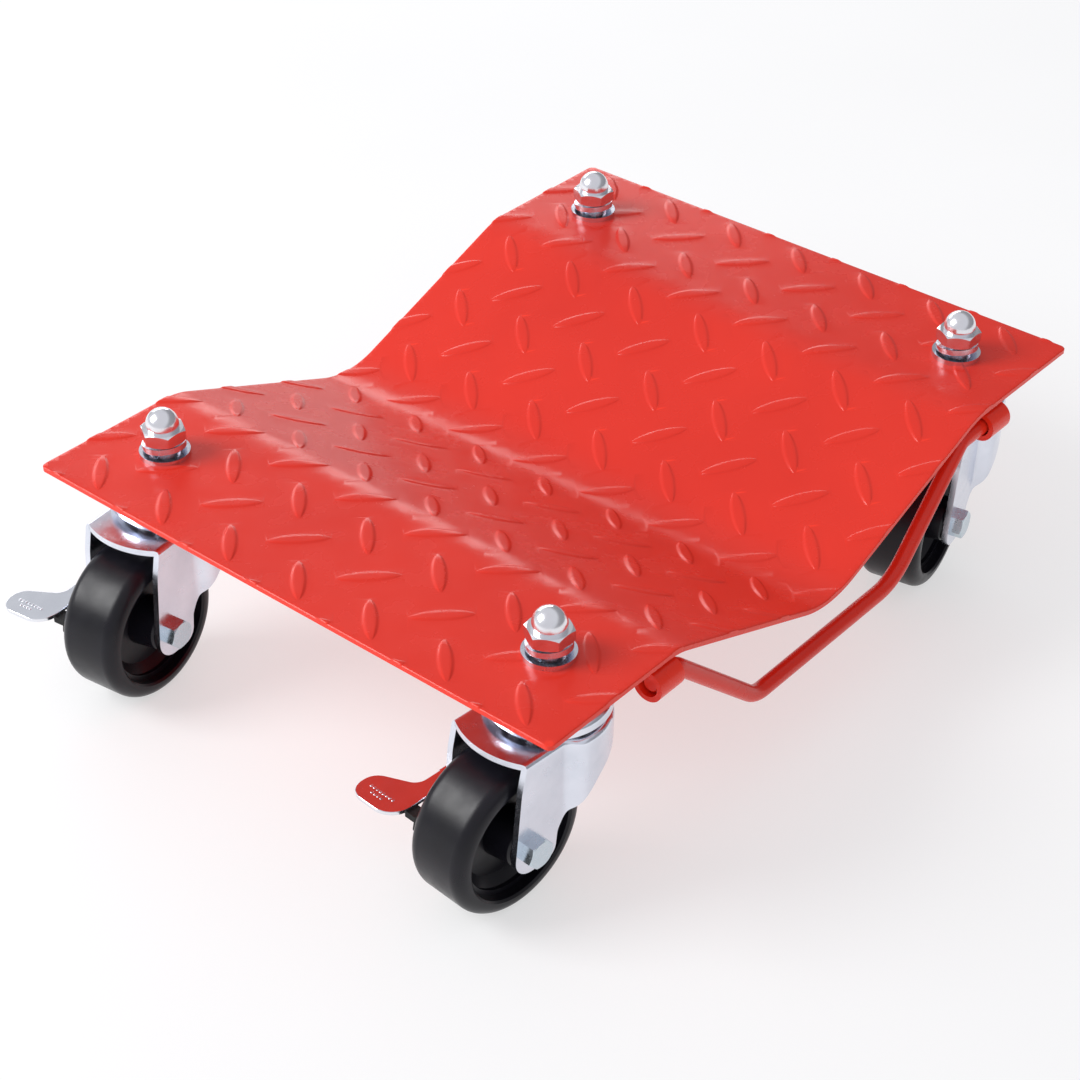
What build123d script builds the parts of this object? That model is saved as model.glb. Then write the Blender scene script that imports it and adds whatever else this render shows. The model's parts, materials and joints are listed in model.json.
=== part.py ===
from build123d import *
from math import cos, radians, sqrt, tan
import os

# Wheel dolly: a bent tread-plate deck that cradles one tyre, carried by four braked swivel
# casters and pulled by a hanging bail handle.  Millimetres, +Z up, +X across the tyre cradle,
# handle on the -Y edge, origin on the floor under the middle of the deck.

# ---- deck ---------------------------------------------------------------------------------
DECK_LENGTH = 406.4
DECK_WIDTH = 304.8
DECK_THICKNESS = 3.0
DECK_TOP = 113.0
BEND_X = 118.5
SLOPE_ANGLE = 20.85
KNEE_RADIUS = 45.0
VALLEY_RADIUS = 52.0
CORNER_RADIUS = 3.0
DECK_BOTTOM = DECK_TOP - DECK_THICKNESS

# ---- caster positions: stem x, stem y, heading of the trailing wheel in degrees --------------
CASTERS = {
    "front_left": (-157.5, -114.0, 175.5),
    "rear_left": (-158.5, 116.5, 187.5),
    "front_right": (160.5, -114.0, 190.5),
    "rear_right": (159.5, 116.5, 188.0),
}

# ---- M12 stem hardware ---------------------------------------------------------------------
STEM_RADIUS = 6.0
THREAD_CLEARANCE = 0.05
STEM_HOLE_RADIUS = 6.5
HEX_M12 = 19.0
WASHER_RADIUS = 12.0
WASHER_THICKNESS = 2.5
LOCK_WASHER_RADIUS = 10.3
LOCK_WASHER_BORE = 7.2
LOCK_WASHER_THICKNESS = 2.7
LOCK_WASHER_GAP = 2.2
LOCK_WASHER_CUT = 25.0
LOCK_WASHER_PITCH = 8.0
LOCK_WASHER_TURN = 70.0
CAP_NUT_BOTTOM = 121.2
CAP_HEX_HEIGHT = 6.2
CAP_DOME_RADIUS = 7.8
CAP_DOME_NECK = 1.7
STEM_TOP = 133.5
STEM_TIP_CHAMFER = 1.0
UNDER_WASHER_THICKNESS = 2.0
STEM_NUT_HEIGHT = 10.0

# ---- swivel --------------------------------------------------------------------------------
UPPER_RACE_RADIUS = 28.0
UPPER_RACE_TOP = DECK_BOTTOM - UNDER_WASHER_THICKNESS - STEM_NUT_HEIGHT
UPPER_RACE_RIM = 89.5
UPPER_RACE_WALL = 2.5
UPPER_RACE_FLAT_RADIUS = 21.0
UPPER_RACE_BEVEL = 5.0
UPPER_RACE_ROUND = 2.5
BALL_RADIUS = 3.0
BALL_COUNT = 14
BALL_CIRCLE = 19.5
BALL_CENTRE = 90.0
BALL_SEAT_CLEARANCE = 0.05
BALL_RUNNING_GAP = 0.35
RACE_CEILING = 92.0
CROWN_TOP = 85.8
SHEET = 3.0
CROWN_BOSS_HEIGHT = 2.2
CROWN_BOSS_RADIUS = 24.0
CROWN_BOSS_BEVEL = 1.3
CROWN_BOSS_HALF_WIDTH = 19.0
LOWER_RACE_RADIUS = 13.0
LOWER_RACE_THICKNESS = 3.0
RUNNING_GAP = 0.35
STEM_HEAD_RADIUS = 10.0
STEM_HEAD_HEIGHT = 5.5
STEM_HEAD_ROUND = 2.5
LOWER_RACE_BOTTOM = CROWN_TOP - SHEET - RUNNING_GAP - LOWER_RACE_THICKNESS

# ---- fork ----------------------------------------------------------------------------------
FORK_HALF_WIDTH = 22.0
CROWN_FRONT_RADIUS = 40.5
CROWN_BACK_RADIUS = 28.2
FLARE_X = 7.0
CREASE_X = 11.0
CREASE_ROUND = 5.0
FLARE_ROUND = 8.0
LEG_FRONT = 41.5
LEG_BOTTOM = 25.0
LEG_TOP_FRONT = 34.5
LEG_OUTLINE = [(LEG_TOP_FRONT, CROWN_TOP), (37.5, 72.0), (LEG_FRONT, LEG_BOTTOM), (17.0, LEG_BOTTOM),
               (15.5, 38.5), (11.0, 46.5), (-4.0, 63.0), (-16.0, 69.5), (-31.0, 73.0), (-31.0, CROWN_TOP)]
LEG_ROUNDS = [30.0, 10.0, 7.0, 6.0, 6.0, 15.0, 15.0, 2.0]
CROWN_EDGE_RADIUS = 2.8

# ---- wheel ---------------------------------------------------------------------------------
TRAIL = 30.5
WHEEL_RADIUS = 37.5
WHEEL_HALF_WIDTH = 16.0
WHEEL_EDGE_RADIUS = 6.0
RECESS_RADIUS = 29.4
LEDGE_RADIUS = 26.8
LEDGE_HALF_WIDTH = 10.5
WEB_HALF_WIDTH = 4.5
WEB_ROOT = 4.0
HUB_TAPER = 1.5
WHEEL_SMALL_EDGE = 1.0
HUB_RADIUS = 11.0
HUB_HALF_LENGTH = 18.4
BUSH_SETBACK = 0.4
BUSH_RADIUS = 8.0
SLEEVE_RADIUS = 6.0
RUNNING_FIT = 0.05
AXLE_RADIUS = 4.0
HEX_M8 = 13.0
AXLE_HEAD_HEIGHT = 5.5
AXLE_NUT_HEIGHT = 6.5
AXLE_END = 29.0
AXLE_HEIGHT = WHEEL_RADIUS
AXLE_TIP_CHAMFER = 0.8
AXLE_HEAD_TURN = 12.0
AXLE_NUT_TURN = 30.0

# ---- brake: distances along the trail (x) and outboard of the wheel (-y) --------------------
HINGE_OUT = 27.6
HINGE_HEIGHT = 52.0
PIN_RADIUS = 1.6
KNUCKLE_RADIUS = 3.0
KNUCKLE_START = 17.0
KNUCKLE_END = 23.0
EAR_THICKNESS = 2.5
EAR_GAP = 0.4
EAR_RADIUS = 3.8
EAR_BACK = KNUCKLE_START - EAR_GAP - EAR_THICKNESS
EAR_FRONT = KNUCKLE_END + EAR_GAP + EAR_THICKNESS
PIN_HEAD_RADIUS = 2.6
PIN_HEAD_HEIGHT = 1.0
BRACKET_THICKNESS = 2.0
BRACKET_BOTTOM = 47.0
BRACKET_TOP = 60.0
PEDAL_SHEET = 1.8
PEDAL_TOP = 36.5
WEB_TOP = (29.5, 48.5)
WEB_FOOT = 35.3
ARM_INNER = 34.2
ARM_OUTER = 42.6
PEDAL_CORNERS = {
    (KNUCKLE_START, -ARM_INNER): 2.0,
    (KNUCKLE_START, -ARM_OUTER): 2.0,
    (35.6, -ARM_OUTER): 7.0,
    (45.0, -61.8): 9.0,
    (60.0, -61.8): 8.0,
    (60.0, -ARM_INNER): 11.0,
}
WEB_ROUNDS = [6.0, 2.5]
PEDAL_EDGE_ROUND = 0.4
BRAKE_ANGLE = 9.0
SHOE_START = 44.0
SHOE_END = 50.5
SHOE_INNER = 21.0
SHOE_OUTER = 35.6
SHOE_HEIGHT = 3.4
NOSE_START = 45.0
NOSE_END = 55.0
NOSE_THICKNESS = 4.0
NOSE_BOTTOM = 31.0
NOSE_TOP = 41.5
NOSE_CLEARANCE = 3.0
NOSE_ROUND = 3.0

# ---- handle and its lugs -------------------------------------------------------------------
BAR_RADIUS = 4.0
HANDLE_Y = -149.0
HANDLE_Z = 100.5
HANDLE_LEFT_END = -133.5
HANDLE_RIGHT_END = 148.0
HANDLE_LEFT_SHOULDER = -116.5
HANDLE_RIGHT_SHOULDER = 111.0
HANDLE_GRIP_LEFT = -60.0
HANDLE_GRIP_RIGHT = 52.5
HANDLE_DROP = 49.0
HANDLE_TILT = 5.7
HANDLE_BENDS = [7.0, 17.0, 34.0, 7.0]
BAR_END_CHAMFER = 0.7
LUG_CENTRES = {"left": -127.5, "right": 136.5}
LUG_LENGTH = 16.0
LUG_OUTER_RADIUS = 7.5
LUG_BORE_RADIUS = 5.0
LUG_LEAF = 2.5
LUG_LEAF_LENGTH = 24.0

UPRIGHT = (Align.CENTER, Align.CENTER, Align.MIN)

os.makedirs("parts", exist_ok=True)


def save(shape, node):
    export_step(shape, f"parts/{node}.step")


def at_corners(shape):
    """The same piece on all four stems, as one group of separate solids."""
    return Compound(children=[
        Pos(x, y, 0) * shape for x, y, _ in CASTERS.values()
    ])


def on_caster(shape, corner):
    """A caster piece, drawn with its stem on the Z axis and its wheel trailing along +X."""
    x, y, heading = CASTERS[corner]
    return Location((x, y, 0), (0, 0, heading)) * shape


def ring(outer, inner, height, bottom):
    """A flat round ring standing on the given height."""
    tube = Cylinder(outer, height, align=UPRIGHT)
    tube -= Cylinder(inner, height, align=UPRIGHT)
    return Pos(0, 0, bottom) * tube


def hexagon(across_flats, height, chamfered_top=True):
    """A hexagonal prism on Z = 0 whose corners are turned off at one or both ends."""
    corner_radius = across_flats / 2 / cos(radians(30))
    prism = extrude(RegularPolygon(corner_radius, 6), height)
    cone_drop = (corner_radius - across_flats / 2) * tan(radians(30))
    turned = Cylinder(corner_radius, height, align=UPRIGHT)
    ends = turned.edges().filter_by(GeomType.CIRCLE).sort_by(Axis.Z)
    picked = ends[-1:] if chamfered_top else ends
    turned = chamfer(picked, cone_drop, corner_radius - across_flats / 2)
    return prism & turned


def side_prism(outline, half_width):
    """A solid whose outline lies in the XZ plane, centred on Y = 0."""
    return extrude(Plane.XZ * outline, half_width, both=True)


# ---- deck ----------------------------------------------------------------------------------
def deck_plate():
    drop = BEND_X * tan(radians(SLOPE_ANGLE))
    half = DECK_LENGTH / 2
    top_line = FilletPolyline(
        (-half, 0), (-BEND_X, 0), (0, -drop), (BEND_X, 0), (half, 0),
        radius=[KNEE_RADIUS, VALLEY_RADIUS, KNEE_RADIUS],
    )
    section = make_face(offset(top_line, DECK_THICKNESS, side=Side.RIGHT))
    plate = Pos(0, 0, DECK_TOP) * side_prism(section, DECK_WIDTH / 2)
    plate = fillet(plate.edges().filter_by(Axis.Z), CORNER_RADIUS)
    hole = Pos(0, 0, DECK_TOP) * Cylinder(STEM_HOLE_RADIUS, 4 * DECK_THICKNESS)
    for x, y, _ in CASTERS.values():
        plate -= Pos(x, y, 0) * hole
    return plate


# ---- stem hardware -------------------------------------------------------------------------
def lock_washer():
    """A split spring washer, not yet drawn flat, between the flat washer and the cap nut."""
    coil = ring(LOCK_WASHER_RADIUS, LOCK_WASHER_BORE, LOCK_WASHER_THICKNESS, -LOCK_WASHER_THICKNESS / 2)
    slot = Box(2 * LOCK_WASHER_RADIUS, LOCK_WASHER_GAP, 4 * LOCK_WASHER_THICKNESS)
    coil -= Pos(LOCK_WASHER_RADIUS, 0, 0) * Rot(LOCK_WASHER_CUT, 0, 0) * slot
    middle = (DECK_TOP + WASHER_THICKNESS + CAP_NUT_BOTTOM) / 2
    return Pos(0, 0, middle) * Rot(0, 0, LOCK_WASHER_TURN) * Rot(0, LOCK_WASHER_PITCH, 0) * coil


def cap_nut():
    dome_centre = CAP_HEX_HEIGHT + CAP_DOME_NECK
    nut = hexagon(HEX_M12, CAP_HEX_HEIGHT, chamfered_top=False)
    nut += Cylinder(CAP_DOME_RADIUS, dome_centre, align=UPRIGHT)
    nut += Pos(0, 0, dome_centre) * Sphere(CAP_DOME_RADIUS)
    depth = STEM_TOP - CAP_NUT_BOTTOM + THREAD_CLEARANCE
    nut -= Cylinder(STEM_RADIUS + THREAD_CLEARANCE, depth, align=UPRIGHT)
    return Pos(0, 0, CAP_NUT_BOTTOM) * nut


def stem_nut():
    nut = hexagon(HEX_M12, STEM_NUT_HEIGHT, chamfered_top=False)
    nut -= Cylinder(STEM_RADIUS + THREAD_CLEARANCE, 3 * STEM_NUT_HEIGHT)
    return Pos(0, 0, UPPER_RACE_TOP) * nut


def king_bolt():
    head_bottom = LOWER_RACE_BOTTOM - STEM_HEAD_HEIGHT
    shank = Cylinder(STEM_RADIUS, STEM_TOP - head_bottom, align=UPRIGHT)
    shank = chamfer(shank.edges().sort_by(Axis.Z)[-1], STEM_TIP_CHAMFER)
    head = Cylinder(STEM_HEAD_RADIUS, STEM_HEAD_HEIGHT, align=UPRIGHT)
    head = fillet(head.edges().sort_by(Axis.Z)[0], STEM_HEAD_ROUND)
    return Pos(0, 0, head_bottom) * (shank + head)


def lower_race():
    bore = STEM_RADIUS + THREAD_CLEARANCE
    return ring(LOWER_RACE_RADIUS, bore, LOWER_RACE_THICKNESS, LOWER_RACE_BOTTOM)


# ---- swivel bearing ------------------------------------------------------------------------
def upper_race():
    inner = UPPER_RACE_RADIUS - UPPER_RACE_WALL
    bore = STEM_RADIUS + THREAD_CLEARANCE
    outline = Polyline(
        (bore, UPPER_RACE_TOP), (UPPER_RACE_FLAT_RADIUS, UPPER_RACE_TOP),
        (UPPER_RACE_RADIUS, UPPER_RACE_TOP - UPPER_RACE_BEVEL), (UPPER_RACE_RADIUS, UPPER_RACE_RIM),
        (inner, UPPER_RACE_RIM), (inner, RACE_CEILING), (bore, RACE_CEILING), close=True,
    )
    race = revolve(Plane.XZ * make_face(outline), Axis.Z)
    race -= Pos(0, 0, BALL_CENTRE) * Torus(BALL_CIRCLE, BALL_RADIUS + BALL_RUNNING_GAP)
    outer = race.edges().filter_by(GeomType.CIRCLE).group_by(SortBy.RADIUS)[-1]
    return fillet(outer.sort_by(Axis.Z)[-1], UPPER_RACE_ROUND)


def bearing_balls():
    step = 360 / BALL_COUNT
    ball = Pos(BALL_CIRCLE, 0, BALL_CENTRE) * Sphere(BALL_RADIUS)
    return Compound(children=[Rot(0, 0, step * turn) * ball for turn in range(BALL_COUNT)])


# ---- fork ----------------------------------------------------------------------------------
def plan_outline(front):
    """Plan shape of the fork: a round back about the stem that narrows to two parallel sides."""
    flare_y = sqrt(CROWN_BACK_RADIUS ** 2 - FLARE_X ** 2)
    back = Circle(CROWN_BACK_RADIUS)
    back &= Pos(FLARE_X - CROWN_BACK_RADIUS, 0) * Rectangle(2 * CROWN_BACK_RADIUS, 2 * CROWN_BACK_RADIUS)
    corners = [(FLARE_X, flare_y), (CREASE_X, FORK_HALF_WIDTH), (front, FORK_HALF_WIDTH)]
    sides = make_face(Polyline(*corners, *[(x, -y) for x, y in reversed(corners)], close=True))
    outline = back + sides
    for x, y, radius in ((*corners[0], FLARE_ROUND), (*corners[1], CREASE_ROUND)):
        for side in (1, -1):
            vertex = outline.vertices().sort_by_distance((x, side * y))[0]
            outline = fillet(vertex, radius)
    return outline


def fork():
    """One folded sheet: a crown with a round front lip, two legs and a rounded back wall."""
    height = CROWN_TOP - LEG_BOTTOM
    outer = extrude(plan_outline(LEG_FRONT), height)
    hollow = offset(plan_outline(2 * LEG_FRONT), -SHEET)
    walls = Pos(0, 0, LEG_BOTTOM) * (outer - extrude(hollow, height - SHEET))
    leg_edge = FilletPolyline(*LEG_OUTLINE, radius=LEG_ROUNDS)
    leg_shape = make_face(leg_edge + Line(LEG_OUTLINE[-1], LEG_OUTLINE[0]))
    legs = walls & side_prism(leg_shape, 2 * CROWN_BACK_RADIUS)
    lip = Circle(CROWN_FRONT_RADIUS) & plan_outline(2 * CROWN_FRONT_RADIUS)
    body = legs + Pos(0, 0, CROWN_TOP - SHEET) * extrude(lip, SHEET)
    rim = body.edges().filter_by_position(Axis.Z, CROWN_TOP, CROWN_TOP)
    folded = rim.filter_by(lambda edge: edge.center().X < LEG_TOP_FRONT - SHEET)
    body = fillet(folded, CROWN_EDGE_RADIUS)
    boss = Cylinder(CROWN_BOSS_RADIUS, CROWN_BOSS_HEIGHT, align=UPRIGHT)
    boss = chamfer(boss.edges().sort_by(Axis.Z)[-1], CROWN_BOSS_BEVEL)
    boss &= Box(2 * CROWN_BOSS_RADIUS, 2 * CROWN_BOSS_HALF_WIDTH, 2 * CROWN_BOSS_HEIGHT)
    body += Pos(0, 0, CROWN_TOP) * boss
    body -= Pos(0, 0, BALL_CENTRE) * Torus(BALL_CIRCLE, BALL_RADIUS + BALL_SEAT_CLEARANCE)
    body -= Pos(0, 0, CROWN_TOP) * Cylinder(STEM_RADIUS + RUNNING_FIT, 8 * SHEET)
    axle_hole = Rot(90, 0, 0) * Cylinder(AXLE_RADIUS + THREAD_CLEARANCE, 4 * FORK_HALF_WIDTH)
    return body - Pos(TRAIL, 0, AXLE_HEIGHT) * axle_hole


# ---- wheel and axle ------------------------------------------------------------------------
def about_axle(profile):
    """Turn a profile drawn as (across, radius) about the wheel's axle."""
    turned = revolve(Plane.XY * profile, Axis.X)
    return Pos(TRAIL, 0, AXLE_HEIGHT) * Rot(0, 0, 90) * turned


def wheel():
    bore = BUSH_RADIUS + THREAD_CLEARANCE / 2
    half = Polyline(
        (0, bore), (HUB_HALF_LENGTH, bore), (HUB_HALF_LENGTH, HUB_RADIUS - WHEEL_SMALL_EDGE),
        (HUB_HALF_LENGTH - WHEEL_SMALL_EDGE, HUB_RADIUS), (WEB_HALF_WIDTH, HUB_RADIUS + HUB_TAPER),
        (WEB_HALF_WIDTH, LEDGE_RADIUS - WEB_ROOT), (WEB_HALF_WIDTH + WEB_ROOT, LEDGE_RADIUS),
        (LEDGE_HALF_WIDTH, LEDGE_RADIUS), (LEDGE_HALF_WIDTH, RECESS_RADIUS),
        (WHEEL_HALF_WIDTH - WHEEL_SMALL_EDGE, RECESS_RADIUS),
        (WHEEL_HALF_WIDTH, RECESS_RADIUS + WHEEL_SMALL_EDGE),
        (WHEEL_HALF_WIDTH, WHEEL_RADIUS), (0, WHEEL_RADIUS), close=True,
    )
    right = make_face(half)
    corner = right.vertices().sort_by_distance((WHEEL_HALF_WIDTH, WHEEL_RADIUS))[0]
    right = fillet(corner, WHEEL_EDGE_RADIUS)
    return about_axle(right + mirror(right, Plane.YZ))


def across_axle(shape):
    """Lay a piece drawn along Z on the axle, so that +Z points to the bolt-head side (+Y)."""
    return Pos(TRAIL, 0, AXLE_HEIGHT) * Rot(-90, 0, 0) * shape


def tube(outer, inner, half_length):
    return Cylinder(outer, 2 * half_length) - Cylinder(inner, 2 * half_length)


def axle_bolt():
    length = FORK_HALF_WIDTH + AXLE_END
    shank = Pos(0, 0, FORK_HALF_WIDTH - length / 2) * Cylinder(AXLE_RADIUS, length)
    shank = chamfer(shank.edges().sort_by(Axis.Z)[0], AXLE_TIP_CHAMFER)
    head = Pos(0, 0, FORK_HALF_WIDTH) * Rot(0, 0, AXLE_HEAD_TURN) * hexagon(HEX_M8, AXLE_HEAD_HEIGHT)
    return across_axle(shank + head)


def axle_nut():
    nut = Rot(0, 0, AXLE_NUT_TURN) * hexagon(HEX_M8, AXLE_NUT_HEIGHT, chamfered_top=False)
    nut -= Cylinder(AXLE_RADIUS + THREAD_CLEARANCE, 3 * AXLE_NUT_HEIGHT)
    return across_axle(Pos(0, 0, -FORK_HALF_WIDTH - AXLE_NUT_HEIGHT) * nut)


def axle_sleeve():
    return across_axle(tube(SLEEVE_RADIUS, AXLE_RADIUS + THREAD_CLEARANCE, FORK_HALF_WIDTH - SHEET))


def wheel_bush():
    return across_axle(tube(BUSH_RADIUS, SLEEVE_RADIUS + RUNNING_FIT, HUB_HALF_LENGTH - BUSH_SETBACK))


# ---- brake ---------------------------------------------------------------------------------
def along_trail(shape, start, end):
    """Lay a shape drawn in (outboard, height) along the trail from start to end."""
    return Pos(start, 0, 0) * extrude(Plane(origin=(0, 0, 0), x_dir=(0, -1, 0), z_dir=(-1, 0, 0))
                                      * shape, -(end - start))


def brake_bracket():
    """A plate on the leg's outer face with two ears that hold the hinge pin."""
    ear_shape = Pos(HINGE_OUT, HINGE_HEIGHT) * Circle(EAR_RADIUS)
    reach = HINGE_OUT - FORK_HALF_WIDTH
    ear_shape += Pos(HINGE_OUT - reach / 2, HINGE_HEIGHT) * Rectangle(reach, 2 * EAR_RADIUS)
    ear_shape -= Pos(HINGE_OUT, HINGE_HEIGHT) * Circle(PIN_RADIUS + THREAD_CLEARANCE / 2)
    base_shape = Pos(FORK_HALF_WIDTH + BRACKET_THICKNESS / 2, (BRACKET_BOTTOM + BRACKET_TOP) / 2)
    base_shape *= Rectangle(BRACKET_THICKNESS, BRACKET_TOP - BRACKET_BOTTOM)
    bracket = along_trail(base_shape, EAR_BACK, EAR_FRONT)
    bracket += along_trail(ear_shape, EAR_BACK, EAR_BACK + EAR_THICKNESS)
    return bracket + along_trail(ear_shape, EAR_FRONT - EAR_THICKNESS, EAR_FRONT)


def brake_pin():
    centre = Pos(HINGE_OUT, HINGE_HEIGHT)
    head = centre * Circle(PIN_HEAD_RADIUS)
    pin = along_trail(centre * Circle(PIN_RADIUS), EAR_BACK, EAR_FRONT)
    pin += along_trail(head, EAR_BACK - PIN_HEAD_HEIGHT, EAR_BACK)
    return pin + along_trail(head, EAR_FRONT, EAR_FRONT + PIN_HEAD_HEIGHT)


def brake_pedal():
    middle = PEDAL_TOP - PEDAL_SHEET / 2
    line = FilletPolyline((WEB_TOP[0], HINGE_HEIGHT), WEB_TOP, (WEB_FOOT, middle), (ARM_OUTER, middle),
                          radius=WEB_ROUNDS)
    web_shape = make_face(offset(line, PEDAL_SHEET / 2, side=Side.BOTH))
    web_shape += Pos(HINGE_OUT, HINGE_HEIGHT) * Circle(KNUCKLE_RADIUS)
    web_shape -= Pos(HINGE_OUT, HINGE_HEIGHT) * Circle(PIN_RADIUS + RUNNING_FIT)
    web = along_trail(web_shape, KNUCKLE_START, KNUCKLE_END)
    plan = make_face(Polyline(*PEDAL_CORNERS, close=True))
    for corner, radius in PEDAL_CORNERS.items():
        plan = fillet(plan.vertices().sort_by_distance(corner)[0], radius)
    plate = Pos(0, 0, PEDAL_TOP - PEDAL_SHEET) * extrude(plan, PEDAL_SHEET)
    rim = plate.edges().filter_by_position(Axis.Z, PEDAL_TOP, PEDAL_TOP)
    return fillet(rim, PEDAL_EDGE_ROUND) + web


def brake_shoe():
    """A rubber block clamped under the pedal, whose nose faces the wheel's flank."""
    pedal_bottom = PEDAL_TOP - PEDAL_SHEET
    block = Box(SHOE_END - SHOE_START, SHOE_OUTER - SHOE_INNER, SHOE_HEIGHT)
    block = Pos((SHOE_START + SHOE_END) / 2, -(SHOE_INNER + SHOE_OUTER) / 2,
                pedal_bottom - SHOE_HEIGHT / 2) * block
    nose = Box(NOSE_END - NOSE_START, NOSE_THICKNESS, NOSE_TOP - NOSE_BOTTOM)
    nose = fillet(nose.edges().filter_by(Axis.Y), NOSE_ROUND)
    nose_middle = WHEEL_HALF_WIDTH + NOSE_CLEARANCE + NOSE_THICKNESS / 2
    nose = Pos((NOSE_START + NOSE_END) / 2, -nose_middle, (NOSE_TOP + NOSE_BOTTOM) / 2) * nose
    hinge = Axis((0, -HINGE_OUT, HINGE_HEIGHT), (1, 0, 0))
    return block + nose.rotate(hinge, -BRAKE_ANGLE)


# ---- handle --------------------------------------------------------------------------------
def handle():
    route = FilletPolyline(
        (HANDLE_LEFT_END, 0, 0), (HANDLE_LEFT_SHOULDER, 0, 0), (HANDLE_GRIP_LEFT, 0, -HANDLE_DROP),
        (HANDLE_GRIP_RIGHT, 0, -HANDLE_DROP), (HANDLE_RIGHT_SHOULDER, 0, 0), (HANDLE_RIGHT_END, 0, 0),
        radius=HANDLE_BENDS,
    )
    start = Plane(origin=(HANDLE_LEFT_END, 0, 0), z_dir=(1, 0, 0))
    bar = sweep(start * Circle(BAR_RADIUS), path=route)
    for end in (0, -1):
        bar = chamfer(bar.edges().filter_by(GeomType.CIRCLE).group_by(Axis.X)[end], BAR_END_CHAMFER)
    return Pos(0, HANDLE_Y, HANDLE_Z) * Rot(-HANDLE_TILT, 0, 0) * bar


def handle_lug(side, deck):
    loop = Rot(0, 90, 0) * Cylinder(LUG_OUTER_RADIUS, LUG_LENGTH)
    loop = Pos(0, HANDLE_Y, HANDLE_Z) * loop
    leaf = Box(LUG_LENGTH, LUG_LEAF_LENGTH, LUG_LEAF)
    leaf = Pos(0, HANDLE_Y + LUG_LEAF_LENGTH / 2, DECK_BOTTOM - LUG_LEAF / 2) * leaf
    bore = Pos(0, HANDLE_Y, HANDLE_Z) * Rot(0, 90, 0) * Cylinder(LUG_BORE_RADIUS, 2 * LUG_LENGTH)
    return Pos(LUG_CENTRES[side], 0, 0) * (loop + leaf - bore) - deck


# ---- build and save ------------------------------------------------------------------------
deck = deck_plate()
save(deck, "deck")
for side in LUG_CENTRES:
    save(handle_lug(side, deck), f"handle_lug_{side}")
save(handle(), "handle")

deck_washer = ring(WASHER_RADIUS, STEM_RADIUS + THREAD_CLEARANCE, WASHER_THICKNESS, DECK_TOP)
under_washer = ring(WASHER_RADIUS, STEM_RADIUS + THREAD_CLEARANCE, UNDER_WASHER_THICKNESS,
                    DECK_BOTTOM - UNDER_WASHER_THICKNESS)
STEM_PIECES = {
    "deck_washers": deck_washer,
    "lock_washers": lock_washer(),
    "cap_nuts": cap_nut(),
    "under_washers": under_washer,
    "stem_nuts": stem_nut(),
    "king_bolts": king_bolt(),
    "lower_races": lower_race(),
}
for node, piece in STEM_PIECES.items():
    save(at_corners(piece), node)

CASTER_PIECES = {
    "upper_race": upper_race(),
    "swivel_balls": bearing_balls(),
    "fork": fork(),
    "wheel": wheel(),
    "wheel_bush": wheel_bush(),
    "axle_sleeve": axle_sleeve(),
    "axle_bolt": axle_bolt(),
    "axle_nut": axle_nut(),
    "brake_bracket": brake_bracket(),
    "brake_pin": brake_pin(),
    "brake_pedal": brake_pedal(),
    "brake_shoe": brake_shoe(),
}
for corner in CASTERS:
    for piece_name, piece in CASTER_PIECES.items():
        save(on_caster(piece, corner), f"{piece_name}_{corner}")
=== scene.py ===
import bmesh
import bpy
import json
from math import copysign, cos, pi, radians, sin, sqrt, tan
from mathutils import Matrix, Vector


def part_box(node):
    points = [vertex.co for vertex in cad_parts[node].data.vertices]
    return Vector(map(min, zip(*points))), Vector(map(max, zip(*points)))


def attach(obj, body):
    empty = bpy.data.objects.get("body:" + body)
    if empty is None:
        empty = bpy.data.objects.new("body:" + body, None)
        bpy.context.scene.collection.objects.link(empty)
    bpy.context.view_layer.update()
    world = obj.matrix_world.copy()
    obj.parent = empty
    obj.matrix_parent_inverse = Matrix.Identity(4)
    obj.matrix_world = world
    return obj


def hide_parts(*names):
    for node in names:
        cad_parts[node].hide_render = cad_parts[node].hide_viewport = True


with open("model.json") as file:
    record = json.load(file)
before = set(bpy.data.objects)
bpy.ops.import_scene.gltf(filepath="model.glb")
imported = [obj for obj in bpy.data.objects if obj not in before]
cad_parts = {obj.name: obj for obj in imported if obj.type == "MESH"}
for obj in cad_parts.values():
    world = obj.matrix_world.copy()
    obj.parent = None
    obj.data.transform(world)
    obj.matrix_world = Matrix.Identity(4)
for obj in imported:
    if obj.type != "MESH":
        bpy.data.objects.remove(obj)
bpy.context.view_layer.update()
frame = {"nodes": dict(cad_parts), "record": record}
NODES = frame["nodes"]

# Lengths below are in metres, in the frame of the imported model, unless a comment says millimetres.
MM = 0.001


# ---- small helpers -------------------------------------------------------------------------
def add_mesh(name, bm, body, material, sharp_angle=30):
    """Turn a bmesh into a smooth-shaded piece that rides on a body."""
    bmesh.ops.recalc_face_normals(bm, faces=bm.faces)
    mesh = bpy.data.meshes.new(name)
    bm.to_mesh(mesh)
    bm.free()
    mesh.shade_smooth()
    mesh.set_sharp_from_angle(angle=radians(sharp_angle))
    mesh.materials.append(material)
    piece = bpy.data.objects.new(name, mesh)
    bpy.context.scene.collection.objects.link(piece)
    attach(piece, body)
    return piece


def add_skin(bm, rings):
    """Faces between one closed ring of vertices and the next, with both ends capped."""
    for ring, following in zip(rings, rings[1:]):
        for turn in range(len(ring)):
            after = (turn + 1) % len(ring)
            bm.faces.new([ring[turn], ring[after], following[after], following[turn]])
    bm.faces.new(rings[0])
    bm.faces.new(rings[-1])


def dress(node, material, sharp_angle=30):
    """Give a CAD node its finished material and clean shading."""
    mesh = NODES[node].data
    mesh.materials.clear()
    mesh.materials.append(material)
    mesh.shade_smooth()
    mesh.set_sharp_from_angle(angle=radians(sharp_angle))


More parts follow.
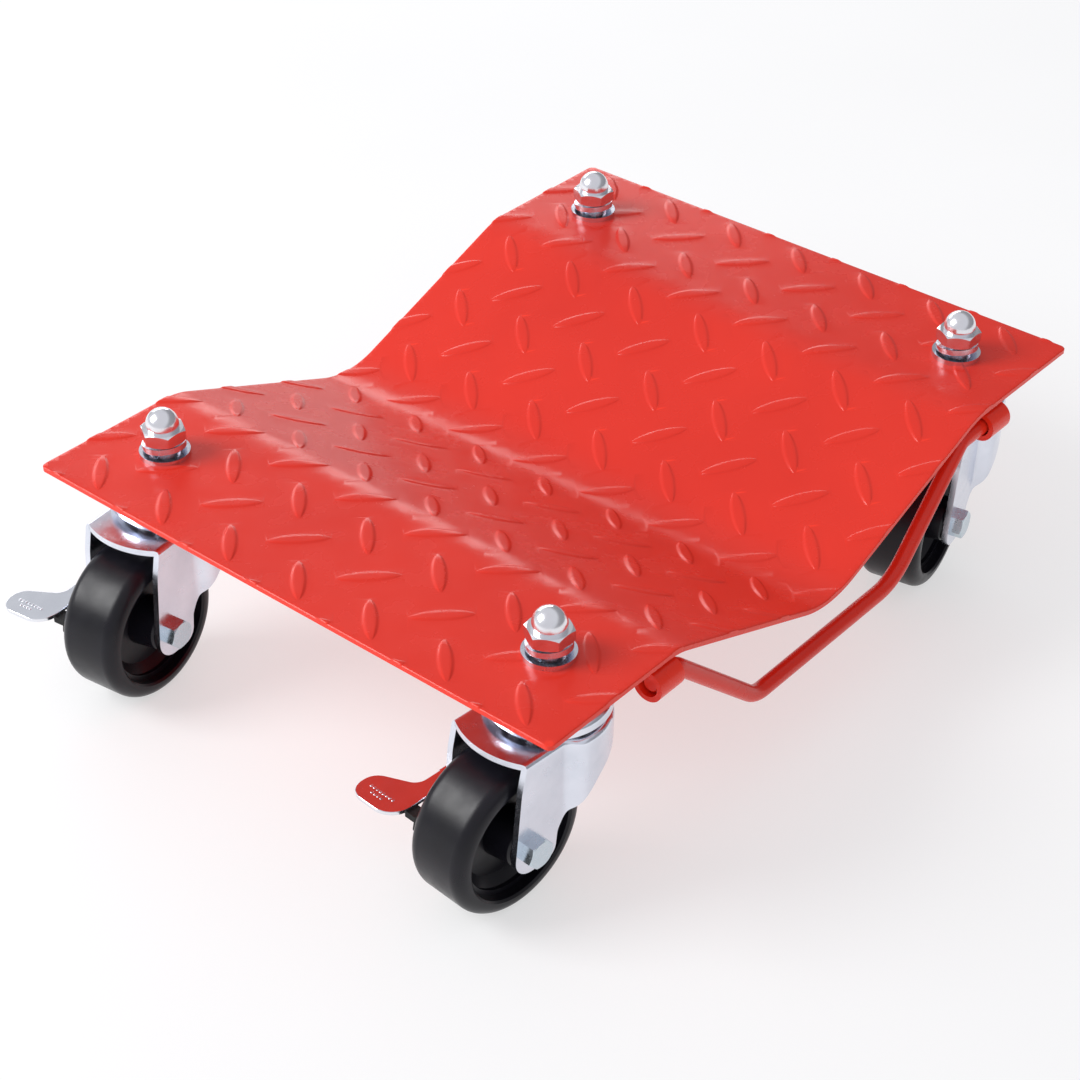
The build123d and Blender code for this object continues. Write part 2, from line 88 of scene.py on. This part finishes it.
# ---- materials -----------------------------------------------------------------------------
def colour_ramp(tree, stops):
    """A ramp node with these (position, colour) stops."""
    node = tree.nodes.new("ShaderNodeValToRGB")
    elements = node.color_ramp.elements
    for element, (position, colour) in zip((elements[0], elements[-1]), (stops[0], stops[-1])):
        element.position = position
        element.color = (*colour, 1)
    for position, colour in stops[1:-1]:
        elements.new(position).color = (*colour, 1)
    return node


class Shader:
    """A Principled material with helpers for the procedural nodes that feed it."""

    def __init__(self, name, **sockets):
        self.material = bpy.data.materials.new(name)
        self.material.use_nodes = True
        self.tree = self.material.node_tree
        self.bsdf = self.tree.nodes["Principled BSDF"]
        self.place = self.tree.nodes.new("ShaderNodeTexCoord").outputs["Object"]
        for socket, value in sockets.items():
            self.bsdf.inputs[socket.replace("_", " ")].default_value = value

    def link(self, source, target):
        self.tree.links.new(source, target)

    def noise(self, scale, detail=3.0, roughness=0.5, stretch=(1, 1, 1)):
        """Noise of that many waves per metre, stretched along the given axes."""
        mapping = self.tree.nodes.new("ShaderNodeMapping")
        mapping.inputs["Scale"].default_value = stretch
        texture = self.tree.nodes.new("ShaderNodeTexNoise")
        texture.inputs["Scale"].default_value = scale
        texture.inputs["Detail"].default_value = detail
        texture.inputs["Roughness"].default_value = roughness
        self.link(self.place, mapping.inputs["Vector"])
        self.link(mapping.outputs["Vector"], texture.inputs["Vector"])
        return texture.outputs["Fac"]

    def spread(self, source, low, high, start=0.3, end=0.7):
        """A number that goes from low to high as source goes from start to end."""
        node = self.tree.nodes.new("ShaderNodeMapRange")
        for socket, value in zip(("From Min", "From Max", "To Min", "To Max"), (start, end, low, high)):
            node.inputs[socket].default_value = value
        self.link(source, node.inputs["Value"])
        return node.outputs["Result"]

    def ramp(self, source, stops):
        """Colours by position along source."""
        node = colour_ramp(self.tree, stops)
        self.link(source, node.inputs["Fac"])
        return node.outputs["Color"]

    def tint(self, factor, source, colour):
        """The source's colour where factor is 0 and the given one where it is 1."""
        node = self.tree.nodes.new("ShaderNodeMix")
        node.data_type = "RGBA"
        source_socket, colour_socket = [item for item in node.inputs if item.type == "RGBA"]
        colour_socket.default_value = (*colour, 1)
        self.link(factor, node.inputs["Factor"])
        self.link(source, source_socket)
        return [item for item in node.outputs if item.type == "RGBA"][0]

    def edges(self, start=0.51, end=0.56):
        """0 on flat ground and 1 on convex edges."""
        geometry = self.tree.nodes.new("ShaderNodeNewGeometry")
        return self.spread(geometry.outputs["Pointiness"], 0, 1, start, end)

    def colour(self, source):
        self.link(source, self.bsdf.inputs["Base Color"])

    def roughness(self, source):
        self.link(source, self.bsdf.inputs["Roughness"])

    def bump(self, source, strength, distance):
        node = self.tree.nodes.new("ShaderNodeBump")
        node.inputs["Strength"].default_value = strength
        node.inputs["Distance"].default_value = distance
        last = self.bsdf.inputs["Normal"]
        if last.is_linked:
            self.link(last.links[0].from_socket, node.inputs["Normal"])
        self.link(source, node.inputs["Height"])
        self.link(node.outputs["Normal"], last)


def red_powder_coat():
    """Gloss red powder coat: slightly cloudy colour, orange peel and a painted highlight that makes convex
    edges a brighter red.
    """
    coat = Shader("red_powder_coat", IOR=1.40)
    cloudy = coat.ramp(coat.noise(9, 4), [(0.3, (0.63, 0.020, 0.008)), (0.7, (0.71, 0.026, 0.011))])
    # Painted highlight: convex edges, found by pointiness, are tinted a brighter red.
    coat.colour(coat.tint(coat.edges(), cloudy, (0.82, 0.032, 0.012)))
    coat.roughness(coat.spread(coat.noise(60, 5), 0.22, 0.30))
    coat.bump(coat.noise(420, 2), 0.10, 0.0002)
    coat.bump(coat.noise(45, 2), 0.08, 0.0008)
    return coat.material


def plated_steel(name, dark, light, smooth, rough, peel):
    """Zinc or chrome on pressed steel: cloudy tint, uneven gloss and faint pressing waves."""
    steel = Shader(name, Metallic=1.0)
    steel.colour(steel.ramp(steel.noise(55, 5), [(0.3, dark), (0.7, light)]))
    steel.roughness(steel.spread(steel.noise(130, 6, 0.65), smooth, rough))
    steel.bump(steel.noise(150, 3), peel, 0.0004)
    steel.bump(steel.noise(1400, 3, 0.6), peel * 0.5, 0.00005)
    return steel.material


def moulded_plastic(name, dark, light, smooth, rough, grain):
    """Black plastic: faint colour clouds, uneven gloss and a fine moulded grain."""
    plastic = Shader(name, IOR=1.36)
    plastic.colour(plastic.ramp(plastic.noise(40, 5), [(0.3, dark), (0.7, light)]))
    plastic.roughness(plastic.spread(plastic.noise(90, 6, 0.6), smooth, rough))
    plastic.bump(plastic.noise(1500, 3, 0.6), grain, 0.00006)
    plastic.bump(plastic.noise(110, 3), grain, 0.0002)
    return plastic.material


RED = red_powder_coat()
BRIGHT_ZINC = plated_steel("bright_zinc", (0.68, 0.71, 0.79), (0.80, 0.82, 0.90), 0.16, 0.30, 0.10)
POLISHED_ZINC = plated_steel("polished_zinc", (0.78, 0.80, 0.85), (0.86, 0.88, 0.92), 0.10, 0.18, 0.04)
CHROME = plated_steel("chrome_plate", (0.78, 0.78, 0.82), (0.86, 0.86, 0.89), 0.17, 0.24, 0.03)
BLUE_ZINC = plated_steel("blue_zinc", (0.50, 0.60, 0.66), (0.64, 0.72, 0.78), 0.20, 0.34, 0.08)
BALL_STEEL = plated_steel("ball_steel", (0.50, 0.50, 0.52), (0.62, 0.62, 0.64), 0.06, 0.16, 0.02)
WHEEL_PLASTIC = moulded_plastic("black_polypropylene", (0.0035, 0.0033, 0.0055), (0.008, 0.0073, 0.012),
                                0.26, 0.40, 0.10)
NYLON = moulded_plastic("grey_nylon", (0.36, 0.36, 0.34), (0.46, 0.46, 0.44), 0.40, 0.55, 0.10)
RUBBER = moulded_plastic("black_rubber", (0.012, 0.012, 0.012), (0.024, 0.024, 0.024), 0.60, 0.80, 0.30)

FINISHES = {
    "red_powder_coat": RED,
    "bright_zinc": BRIGHT_ZINC,
    "polished_zinc": POLISHED_ZINC,
    "chrome_plate": CHROME,
    "blue_zinc": BLUE_ZINC,
    "ball_steel": BALL_STEEL,
    "black_polypropylene": WHEEL_PLASTIC,
    "grey_nylon": NYLON,
    "black_rubber": RUBBER,
}
for part in frame["record"]["subparts"]:
    dress(part["node"], FINISHES[part["material_slot"]])


# ---- deck ----------------------------------------------------------------------------------
DECK_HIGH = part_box("deck")[1]
THICKNESS = 3.0 * MM
SLOPE = radians(20.85)
BEND_X = 118.5 * MM
KNEE_RADIUS = 45 * MM
VALLEY_RADIUS = 52 * MM
CORNER_RADIUS = 3 * MM
EDGE_BAND = 0.6 * MM
EDGE_DROP = 0.4 * MM

VALLEY_ARC = VALLEY_RADIUS * SLOPE
STRAIGHT_SLOPE = BEND_X / cos(SLOPE) - VALLEY_RADIUS * tan(SLOPE) - KNEE_RADIUS * tan(SLOPE / 2)
KNEE_ARC = KNEE_RADIUS * SLOPE
FLANGE = DECK_HIGH.x - BEND_X - KNEE_RADIUS * tan(SLOPE / 2)
SLOPE_END = VALLEY_ARC + STRAIGHT_SLOPE
KNEE_END = SLOPE_END + KNEE_ARC
HALF_SHEET = KNEE_END + FLANGE
HALF_WIDTH = DECK_HIGH.y
RISE = (VALLEY_RADIUS + KNEE_RADIUS) * (1 - cos(SLOPE)) + STRAIGHT_SLOPE * sin(SLOPE)
VALLEY_CENTRE = DECK_HIGH.z - RISE + VALLEY_RADIUS


def bend(along, across, up):
    """Place of a point of the flat sheet once it is bent: along from the valley, up from the top face."""
    s = abs(along)
    if s < VALLEY_ARC:
        turn = s / VALLEY_RADIUS
        reach = VALLEY_RADIUS - up
        x, z = reach * sin(turn), VALLEY_CENTRE - reach * cos(turn)
    elif s < SLOPE_END:
        start_x, start_z = VALLEY_RADIUS * sin(SLOPE), VALLEY_CENTRE - VALLEY_RADIUS * cos(SLOPE)
        run = s - VALLEY_ARC
        x = start_x + run * cos(SLOPE) - up * sin(SLOPE)
        z = start_z + run * sin(SLOPE) + up * cos(SLOPE)
    else:
        turn = max(SLOPE - (s - SLOPE_END) / KNEE_RADIUS, 0)
        reach = KNEE_RADIUS + up
        centre_x = DECK_HIGH.x - FLANGE
        x = centre_x - reach * sin(turn) + max(s - KNEE_END, 0)
        z = DECK_HIGH.z - KNEE_RADIUS + reach * cos(turn)
    return Vector((copysign(x, along), across, z))


# Tread lozenges lie on a lattice of diamond cells, turned alternately one way and the other.
CELL_X = 43.6 * MM
CELL_Y = 42.3 * MM
LOZENGE_HALF_LENGTH = 14.0 * MM
LOZENGE_HALF_WIDTH = 3.6 * MM
LOZENGE_TIP_WIDTH = 0.4 * MM
LOZENGE_HEIGHT = 0.65 * MM
CELL_HALF = sqrt(CELL_X ** 2 + CELL_Y ** 2) / 4
LOZENGE_ROUNDNESS = 0.75
LOZENGE_END_FALL = 3
# Distances from a lozenge's middle, towards its tip and beyond its flank, in millimetres.
ALONG_STEPS = [0, 2.2, 4.4, 6.5, 8.5, 10.3, 11.9, 13.2, 14.0]
OUTER_STEPS = [7.0, 10.5]
# Half of a lozenge's section: (share of the half width, share of the height).
SECTION = [(0, 1), (0.35, 1), (0.56, 0.96), (0.73, 0.76), (0.88, 0.36), (1.02, 0.07), (1.2, 0)]
SIDE_STEPS = len(ALONG_STEPS)
COLUMNS = range(-6, 7)
ROWS = range(-5, 6)
CORNER_CUTS = (0, 22.5, 45, 67.5, 90)
BEND_STEP = 2 * MM
CUT_MARGIN = 1e-7


def cell_point(i, j):
    """(along, across, height) of grid point i, j of a cell; i and j go from -SIDE_STEPS to SIDE_STEPS."""
    edge_i, edge_j = i * CELL_HALF / SIDE_STEPS, j * CELL_HALF / SIDE_STEPS
    if SIDE_STEPS in (abs(i), abs(j)):
        return edge_i, edge_j, 0
    along = copysign(ALONG_STEPS[abs(i)] * MM, i)
    if abs(j) >= len(SECTION):
        outer = abs(j) - len(SECTION)
        share = (outer + 1) / (len(OUTER_STEPS) + 1)
        return along + (edge_i - along) * share, copysign(OUTER_STEPS[outer] * MM, j), 0
    fullness = max(1 - (along / LOZENGE_HALF_LENGTH) ** 2, 0)
    bulge = (LOZENGE_HALF_WIDTH - LOZENGE_TIP_WIDTH) * fullness ** LOZENGE_ROUNDNESS
    fraction, height = SECTION[abs(j)]
    across = copysign(fraction * (LOZENGE_TIP_WIDTH + bulge), j)
    return along, across, LOZENGE_HEIGHT * height * (1 - (1 - fullness) ** LOZENGE_END_FALL)


def add_cell(bm, centre_x, centre_y, way):
    """One diamond cell of the flat sheet, with its lozenge running one way (+1) or the other (-1)."""
    run = Vector((CELL_X, way * CELL_Y, 0)) / 4 / CELL_HALF
    side = Vector((-CELL_X, way * CELL_Y, 0)) / 4 / CELL_HALF
    steps = range(-SIDE_STEPS, SIDE_STEPS + 1)
    grid = {}
    for i in steps:
        for j in steps:
            along, across, height = cell_point(i, j)
            place = Vector((centre_x, centre_y, height)) + run * along + side * across
            grid[i, j] = bm.verts.new(place)
    for i in steps[:-1]:
        for j in steps[:-1]:
            corners = [grid[i, j], grid[i + 1, j], grid[i + 1, j + 1], grid[i, j + 1]]
            bm.faces.new(corners if way > 0 else corners[::-1])


def cut(bm, geometry, point, normal, clear=False):
    """Cut this geometry along a plane and, if clear, delete what lies beyond it."""
    bmesh.ops.bisect_plane(bm, geom=geometry, dist=CUT_MARGIN, plane_co=point, plane_no=normal,
                           clear_outer=clear)


def edge_distance(x, y):
    """Signed distance of a flat point from the sheet's outline, negative inside it."""
    dx = abs(x) - HALF_SHEET + CORNER_RADIUS
    dy = abs(y) - HALF_WIDTH + CORNER_RADIUS
    outside = sqrt(max(dx, 0) ** 2 + max(dy, 0) ** 2)
    return outside + min(max(dx, dy), 0) - CORNER_RADIUS


def tread_sheet():
    """The flat top face with every lozenge, trimmed to the sheet's outline."""
    bm = bmesh.new()
    for column in COLUMNS:
        for row in ROWS:
            add_cell(bm, CELL_X * (column + 0.5), CELL_Y * row, 1)
            add_cell(bm, CELL_X * column, CELL_Y * (row + 0.5), -1)
    bmesh.ops.remove_doubles(bm, verts=bm.verts, dist=1e-6)
    for turn in CORNER_CUTS:
        for sx in (-1, 1):
            for sy in (-1, 1):
                normal = Vector((sx * cos(radians(turn)), sy * sin(radians(turn)), 0))
                centre = Vector((sx * (HALF_SHEET - CORNER_RADIUS), sy * (HALF_WIDTH - CORNER_RADIUS), 0))
                everything = bm.verts[:] + bm.edges[:] + bm.faces[:]
                cut(bm, everything, centre + normal * CORNER_RADIUS, normal, clear=True)
    for inset in (EDGE_BAND, EDGE_BAND / 2):
        for axis, limit in ((Vector((1, 0, 0)), HALF_SHEET), (Vector((0, 1, 0)), HALF_WIDTH)):
            for sign in (-1, 1):
                everything = bm.verts[:] + bm.edges[:] + bm.faces[:]
                cut(bm, everything, axis * sign * (limit - inset), axis)
    return bm


def add_rim(bm):
    """Sides and underside of the flat sheet, with its lower edge drawn in a little."""
    rim = [edge for edge in bm.edges if edge.is_boundary]
    for depth in (THICKNESS - EDGE_DROP, THICKNESS):
        grown = bmesh.ops.extrude_edge_only(bm, edges=rim)["geom"]
        rim = [item for item in grown if isinstance(item, bmesh.types.BMEdge) and item.is_boundary]
        for vert in {vert for edge in rim for vert in edge.verts}:
            if depth == THICKNESS:
                vert.co.x *= 1 - EDGE_DROP / HALF_SHEET
                vert.co.y *= 1 - EDGE_DROP / HALF_WIDTH
            vert.co.z = -depth
    bmesh.ops.contextual_create(bm, geom=rim)


def slice_underside(bm):
    """Cut the underside into strips across each bend, so that it can follow the bend."""
    count = int(KNEE_END / BEND_STEP)
    for index in range(-count, count + 1):
        station = index * BEND_STEP
        if VALLEY_ARC + BEND_STEP < abs(station) < SLOPE_END - BEND_STEP:
            continue
        faces = [face for face in bm.faces if all(vert.co.z < -THICKNESS / 2 for vert in face.verts)]
        edges = {edge for face in faces for edge in face.edges}
        verts = {vert for face in faces for vert in face.verts}
        cut(bm, [*faces, *edges, *verts], Vector((station, 0, 0)), Vector((1, 0, 0)))


def deck():
    bm = tread_sheet()
    for vert in bm.verts:
        band = edge_distance(vert.co.x, vert.co.y) + EDGE_BAND
        if band > 0:
            vert.co.z -= EDGE_DROP * (band / EDGE_BAND) ** 2
    add_rim(bm)
    slice_underside(bm)
    for vert in bm.verts:
        vert.co = bend(*vert.co)
    piece = add_mesh("deck_tread_plate", bm, "deck_frame", RED)
    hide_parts("deck")


deck()


# ---- small details that the CAD solids leave out --------------------------------------------
BEAD_RADIUS = 1.8 * MM
BEAD_RIPPLE = 0.25 * MM
BEAD_PITCH = 2.2 * MM
BEAD_STEP = 0.55 * MM
BEAD_SIDES = 10
BEAD_TIP = 0.35
BEAD_TIP_STEPS = 3
LUG_CENTRES = {"left": -127.5 * MM, "right": 136.5 * MM}
LUG_HALF = 8.0 * MM
LEAF_END = -125.0 * MM
LEAF_START = -140.5 * MM


def bead_path(corners):
    """Points a step apart along a polyline, each with the direction of its stretch."""
    points = []
    for start, end in zip(corners, corners[1:]):
        stretch = end - start
        steps = round(stretch.length / BEAD_STEP)
        points += [(start + stretch * step / steps, stretch.normalized()) for step in range(steps + 1)]
    return points


def weld_bead(side, lug_x):
    """The rippled bead along the outer and inner edges of a lug's leaf, under the deck."""
    seam = DECK_HIGH.z - THICKNESS - BEAD_RADIUS / 4
    far = lug_x + copysign(LUG_HALF, lug_x)
    near = lug_x - copysign(LUG_HALF, lug_x) / 4
    corners = [Vector((far, LEAF_START, seam)), Vector((far, LEAF_END, seam)), Vector((near, LEAF_END, seam))]
    path = bead_path(corners)
    up = Vector((0, 0, 1))
    bm = bmesh.new()
    rings = []
    for index, (point, along) in enumerate(path):
        ripple = BEAD_RIPPLE * sin(index * BEAD_STEP / BEAD_PITCH * 2 * pi)
        from_tip = min(index, len(path) - 1 - index, BEAD_TIP_STEPS) / BEAD_TIP_STEPS
        radius = (BEAD_RADIUS + ripple) * (BEAD_TIP + (1 - BEAD_TIP) * from_tip)
        across = along.cross(up)
        ring = []
        for turn in range(BEAD_SIDES):
            angle = 2 * pi * turn / BEAD_SIDES
            ring.append(bm.verts.new(point + (across * cos(angle) + up * sin(angle)) * radius))
        rings.append(ring)
    add_skin(bm, rings)
    add_mesh(f"weld_bead_{side}", bm, "deck_frame", RED, sharp_angle=60)


for lug_side, lug_centre in LUG_CENTRES.items():
    weld_bead(lug_side, lug_centre)


# Raised pips on every pedal, in millimetres: along the trail from the stem, outboard of it and up.
# Each caster is (stem x, stem y, heading in degrees).
CORNERS = {
    "front_left": (-157.5, -114.0, 175.5),
    "rear_left": (-158.5, 116.5, 187.5),
    "front_right": (160.5, -114.0, 190.5),
    "rear_right": (159.5, 116.5, 188.0),
}
PEDAL_TOP = 36.5
# Rows of (x, first y, number of pips), and rings of (share of the pip's size, height).
PIP_ROWS = [(51.0, -42.5, 8), (53.8, -47.0, 4)]
PIP_PITCH = 1.95
PIP_HALF_X = 0.95
PIP_HALF_Y = 0.62
PIP_RINGS = [(1.0, -0.1), (0.94, 0.12), (0.72, 0.27), (0.36, 0.34)]
PIP_SIDES = 12


def add_pip(bm, x, y, place):
    """One low oval dome on the pedal, at x and y in the caster's own frame."""
    rings = []
    for share, height in PIP_RINGS:
        ring = []
        for turn in range(PIP_SIDES):
            angle = 2 * pi * turn / PIP_SIDES
            spot_x = x + PIP_HALF_X * share * cos(angle)
            spot_y = y + PIP_HALF_Y * share * sin(angle)
            ring.append(bm.verts.new(place @ Vector((spot_x, spot_y, PEDAL_TOP + height))))
        rings.append(ring)
    add_skin(bm, rings)


def pedal_marks(corner):
    stem_x, stem_y, heading = CORNERS[corner]
    stem = Matrix.Translation((stem_x, stem_y, 0))
    place = Matrix.Scale(MM, 4) @ stem @ Matrix.Rotation(radians(heading), 4, "Z")
    bm = bmesh.new()
    for x, first_y, count in PIP_ROWS:
        for index in range(count):
            add_pip(bm, x, first_y - index * PIP_PITCH, place)
    add_mesh(f"pedal_marks_{corner}", bm, f"brake_{corner}", POLISHED_ZINC, sharp_angle=60)


for corner_name in CORNERS:
    pedal_marks(corner_name)


# ---- floor, light and camera ---------------------------------------------------------------
FLOOR_HALF = 15
FLOOR_GLOW = 0.57
# The world's colour by direction: 0 is opposite WORLD_BRIGHT and 1 is straight along it.
WORLD_BRIGHT = (-0.62, 0.12, 0.775)
WORLD_STOPS = [(0.0, (0.24, 0.24, 0.26)), (0.52, (0.34, 0.34, 0.36)), (0.65, (0.70, 0.71, 0.75)),
               (0.95, (0.70, 0.70, 0.74))]
LIGHT_AIM = (0, 0, 0.1)
# (name, place, width and height, watts)
LIGHTS = [("key", (-1.45, 1.3, 1.5), (1.2, 1.2), 42),
          ("back_softbox", (1.8, 2.6, 1.05), (2.9, 0.9), 23)]
CAMERA_PLACE = (-0.7307, -0.5729, 0.6935)
CAMERA_AZIMUTH = radians(-49.96)
CAMERA_ELEVATION = radians(38.33)
CAMERA_ROLL = radians(0.55)
# Sensor and lens in millimetres, and the picture's shift in sensor widths.
SENSOR_WIDTH = 36
LENS = 75.43
SHIFT_X = 0.0306
SHIFT_Y = 0.1046


def stage():
    floor_mesh = bpy.data.meshes.new("floor")
    corners = [(x * FLOOR_HALF, y * FLOOR_HALF, 0) for x, y in ((-1, -1), (1, -1), (1, 1), (-1, 1))]
    floor_mesh.from_pydata(corners, [], [(0, 1, 2, 3)])
    floor = bpy.data.objects.new("floor", floor_mesh)
    bpy.context.scene.collection.objects.link(floor)
    paper = Shader("paper", Roughness=0.9, Emission_Color=(1, 1, 1, 1), Emission_Strength=FLOOR_GLOW)
    paper.colour(paper.ramp(paper.noise(3, 2), [(0.3, (0.36, 0.36, 0.36)), (0.7, (0.38, 0.38, 0.38))]))
    floor.data.materials.append(paper.material)


def area_light(name, place, size, power):
    data = bpy.data.lights.new(name, "AREA")
    data.shape = "RECTANGLE"
    data.size, data.size_y = size
    data.energy = power
    lamp = bpy.data.objects.new(name, data)
    lamp.location = place
    lamp.rotation_euler = (Vector(LIGHT_AIM) - Vector(place)).to_track_quat("-Z", "Y").to_euler()
    bpy.context.scene.collection.objects.link(lamp)


def lighting():
    world = bpy.data.worlds.new("studio")
    bpy.context.scene.world = world
    world.use_nodes = True
    tree = world.node_tree
    background = tree.nodes["Background"]
    # Brightest above and to the left of the camera, dim beyond the far side of the deck.
    towards = tree.nodes.new("ShaderNodeVectorMath")
    towards.operation = "DOT_PRODUCT"
    towards.inputs[1].default_value = WORLD_BRIGHT
    half = tree.nodes.new("ShaderNodeMapRange")
    half.inputs["From Min"].default_value = -1
    ramp = colour_ramp(tree, WORLD_STOPS)
    tree.links.new(tree.nodes.new("ShaderNodeTexCoord").outputs["Generated"], towards.inputs[0])
    tree.links.new(towards.outputs["Value"], half.inputs["Value"])
    tree.links.new(half.outputs["Result"], ramp.inputs["Fac"])
    tree.links.new(ramp.outputs["Color"], background.inputs["Color"])
    for name, place, size, power in LIGHTS:
        area_light(name, place, size, power)


def camera():
    back = Vector((sin(CAMERA_AZIMUTH) * cos(CAMERA_ELEVATION),
                   -cos(CAMERA_AZIMUTH) * cos(CAMERA_ELEVATION),
                   sin(CAMERA_ELEVATION)))
    right = Vector((cos(CAMERA_AZIMUTH), sin(CAMERA_AZIMUTH), 0))
    up = back.cross(right)
    right_rolled = right * cos(CAMERA_ROLL) + up * sin(CAMERA_ROLL)
    up_rolled = up * cos(CAMERA_ROLL) - right * sin(CAMERA_ROLL)
    data = bpy.data.cameras.new("camera")
    data.sensor_width = SENSOR_WIDTH
    data.lens = LENS
    data.shift_x = SHIFT_X
    data.shift_y = SHIFT_Y
    holder = bpy.data.objects.new("camera", data)
    turn = Matrix((right_rolled, up_rolled, back)).transposed().to_4x4()
    holder.matrix_world = Matrix.Translation(CAMERA_PLACE) @ turn
    bpy.context.scene.collection.objects.link(holder)
    bpy.context.scene.camera = holder


stage()
lighting()
camera()
bpy.context.scene.view_settings.view_transform = "Standard"
